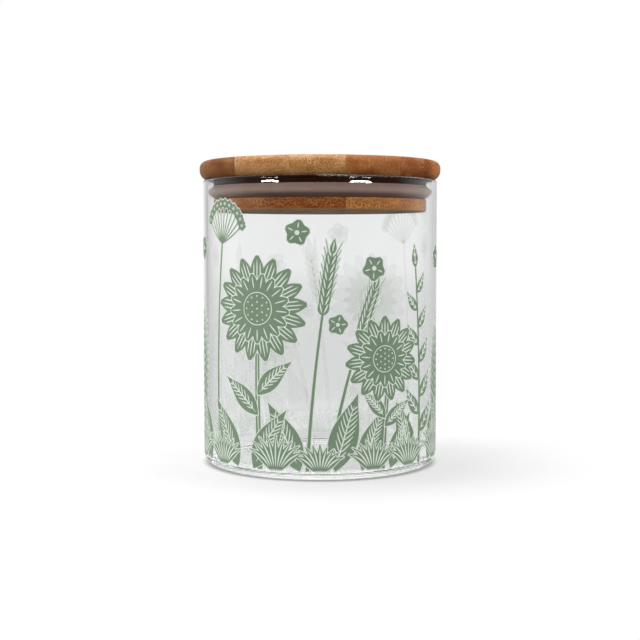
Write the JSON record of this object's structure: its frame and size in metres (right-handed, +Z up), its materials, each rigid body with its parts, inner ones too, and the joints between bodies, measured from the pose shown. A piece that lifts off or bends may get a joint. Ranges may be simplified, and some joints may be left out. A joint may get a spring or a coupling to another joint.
{
  "type": "glass storage jar",
  "caption": "Straight-sided clear glass storage jar with a green leaf print, closed by a thick turned bamboo plug lid with a silicone lip seal.",
  "frame": {"origin": "centre of the circle that the jar stands on, on the table", "axes": "+Z up along the jar's axis, +X to the right and -Y towards the viewer of the front, with the lid's strips along Y"},
  "size_m": [0.1028, 0.1028, 0.1284],
  "materials": {
    "glass": "clear, fire-polished",
    "bamboo": "turned and oiled, carbonised colour",
    "silicone": "milky, satin",
    "ink": "screen-printed enamel, satin"
  },
  "bodies": {
    "jar": {"glass_jar": "glass"},
    "seal": {"seal_ring": "silicone"},
    "lid": {"bamboo_strip_1": "bamboo", "bamboo_strip_2": "bamboo", "bamboo_strip_3": "bamboo", "bamboo_strip_4": "bamboo", "bamboo_strip_5": "bamboo"}
  },
  "joints": [
    {"name": "lid_lift", "type": "slide", "parent": "jar", "child": "seal", "axis": [0, 0, 1], "range_m": [0, 0.06]},
    {"name": "lid_turn", "type": "hinge", "parent": "seal", "child": "lid", "pos_m": [0, 0, 0.12], "axis": [0, 0, 1], "continuous": true}
  ]
}
